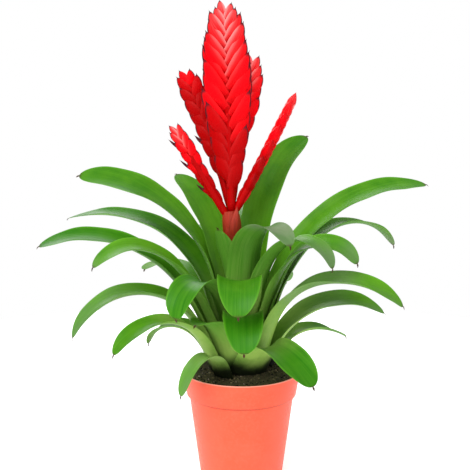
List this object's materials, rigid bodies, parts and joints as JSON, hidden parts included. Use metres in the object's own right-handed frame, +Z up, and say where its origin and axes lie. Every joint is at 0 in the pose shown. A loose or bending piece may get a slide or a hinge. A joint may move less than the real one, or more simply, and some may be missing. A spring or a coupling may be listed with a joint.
{
  "type": "potted bromeliad plant",
  "caption": "Potted vriesea with arching strap leaves in a rosette and a branched red flower of flat feathered spikes, in a tapered round plastic nursery pot.",
  "frame": {"origin": "centre of the pot's flat underside, on the surface it stands on", "axes": "+Z up; +X to the viewer's right; -Y towards the viewer who faces the flower"},
  "size_m": [0.456, 0.3487, 0.5494],
  "materials": {
    "pot_plastic": "terracotta-orange moulded plastic with a soft sheen",
    "compost": "dark damp bark and peat compost, rough",
    "flower_stalk": "fleshy brownish-red stalk",
    "bract_red": "waxy bright red bracts with dark tips",
    "leaf_green": "smooth waxy green leaves, paler at the foot"
  },
  "bodies": {
    "root": {"pot": "pot_plastic", "soil": "compost", "scape": "flower_stalk", "spike_main": "bract_red", "spike_left": "bract_red", "spike_right": "bract_red", "spike_low": "bract_red", "spike_edge": "bract_red", "leaf_01": "leaf_green", "leaf_02": "leaf_green", "leaf_03": "leaf_green", "leaf_04": "leaf_green", "leaf_05": "leaf_green", "leaf_06": "leaf_green", "leaf_07": "leaf_green", "leaf_08": "leaf_green", "leaf_09": "leaf_green", "leaf_10": "leaf_green", "leaf_11": "leaf_green", "leaf_12": "leaf_green", "leaf_13": "leaf_green", "leaf_14": "leaf_green", "leaf_15": "leaf_green", "leaf_16": "leaf_green", "leaf_17": "leaf_green", "leaf_18": "leaf_green", "leaf_19": "leaf_green", "leaf_20": "leaf_green", "leaf_21": "leaf_green", "leaf_22": "leaf_green", "leaf_23": "leaf_green", "leaf_24": "leaf_green", "leaf_25": "leaf_green", "leaf_26": "leaf_green", "leaf_27": "leaf_green", "leaf_28": "leaf_green", "leaf_29": "leaf_green", "leaf_30": "leaf_green"}
  },
  "joints": []
}
